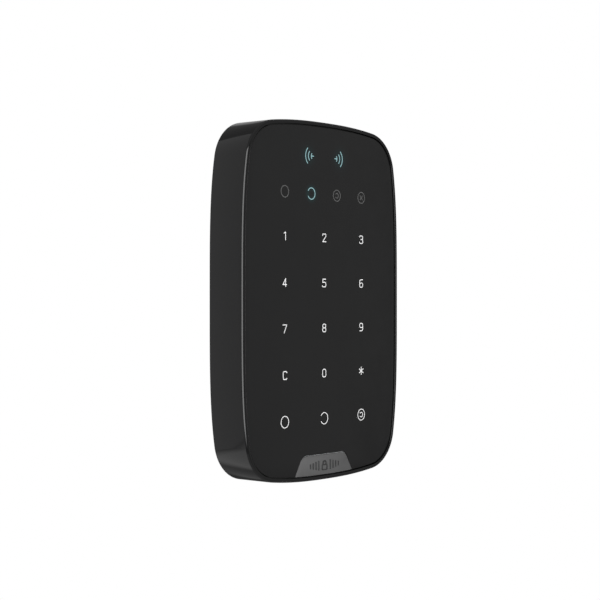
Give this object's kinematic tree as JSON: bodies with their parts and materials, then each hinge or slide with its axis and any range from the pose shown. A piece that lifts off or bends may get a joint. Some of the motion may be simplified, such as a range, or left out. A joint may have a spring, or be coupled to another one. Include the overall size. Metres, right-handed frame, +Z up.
{
  "type": "rfid card reader",
  "caption": "Slim wall-mounted contactless card reader with a flush backlit touch keypad, a slide-on wall bracket and a tamper plunger.",
  "frame": {"origin": "centre of the wall bracket's back face, in the wall plane", "axes": "+Z up, -Y out of the wall towards the user, +X to the right as the user sees it"},
  "size_m": [0.113, 0.02, 0.165],
  "materials": {
    "shell": "satin moulded plastic",
    "panel": "satin hard-coated sheet",
    "badge": "fine-grained grey plastic",
    "bracket": "textured moulded plastic",
    "cover": "textured moulded plastic",
    "steel": "plain",
    "board": "solder mask",
    "chip": "moulded resin",
    "copper": "bare copper track",
    "film": "clear film",
    "adhesive": "foam tape",
    "ferrite": "matt sheet",
    "lamp": "clear resin",
    "tray": "moulded",
    "cell": "printed sleeve",
    "gold": "plated",
    "flex": "polyimide",
    "lead_red": "insulation",
    "lead_black": "insulation",
    "white_part": "moulded",
    "legend": "backlit print",
    "icon_lit": "lit window",
    "icon_dim": "unlit window"
  },
  "bodies": {
    "wall_side": {"mounting_bracket": "bracket"},
    "keypad": {"badge": "badge", "battery_1": "cell", "battery_2": "cell", "battery_3": "cell", "battery_4": "cell", "battery_tray": "tray", "board_screw_1": "steel", "board_screw_2": "steel", "board_screw_3": "steel", "board_screw_4": "steel", "buzzer": "chip", "contact_spring_1": "steel", "contact_spring_2": "steel", "contact_spring_3": "steel", "contact_spring_4": "steel", "contact_tab_1": "steel", "contact_tab_2": "steel", "contact_tab_3": "steel", "contact_tab_4": "steel", "cover_screw_1": "steel", "cover_screw_2": "steel", "cover_screw_3": "steel", "cover_screw_4": "steel", "ferrite_sheet": "ferrite", "flex_connector": "white_part", "front_housing": "shell", "key_lamp_1": "lamp", "key_lamp_2": "lamp", "key_lamp_3": "lamp", "key_lamp_4": "lamp", "light_guide": "film", "main_board": "board", "negative_lead": "lead_black", "panel_adhesive": "adhesive", "positive_lead": "lead_red", "power_connector": "white_part", "power_switch": "chip", "processor_chip": "chip", "radio_antenna_left": "gold", "radio_antenna_right": "gold", "radio_shield": "steel", "reader_chip": "chip", "reader_coil": "copper", "rear_cover": "cover", "status_lamp_1": "lamp", "status_lamp_2": "lamp", "status_lamp_3": "lamp", "status_lamp_4": "lamp", "tamper_switch": "chip", "touch_board": "board", "touch_flex": "flex", "touch_panel": "panel"},
    "lock": {"holding_screw": "steel"},
    "plunger": {"tamper_plunger": "white_part", "tamper_spring": "steel"},
    "button": {"power_button": "shell"}
  },
  "joints": [
    {"name": "keypad_slide", "type": "slide", "parent": "wall_side", "child": "keypad", "axis": [0, 0, 1], "range_m": [0, 0.007]},
    {"name": "screw_draw", "type": "slide", "parent": "wall_side", "child": "lock", "axis": [0, 0, -1], "range_m": [0, 0.006]},
    {"name": "plunger_press", "type": "slide", "parent": "keypad", "child": "plunger", "axis": [0, -1, 0], "range_m": [0, 0.001], "stiffness_N_per_m": 300, "springref_m": -0.002},
    {"name": "button_press", "type": "slide", "parent": "keypad", "child": "button", "axis": [0, -1, 0], "range_m": [0, 0.0008], "stiffness_N_per_m": 800, "springref_m": -0.0005}
  ]
}
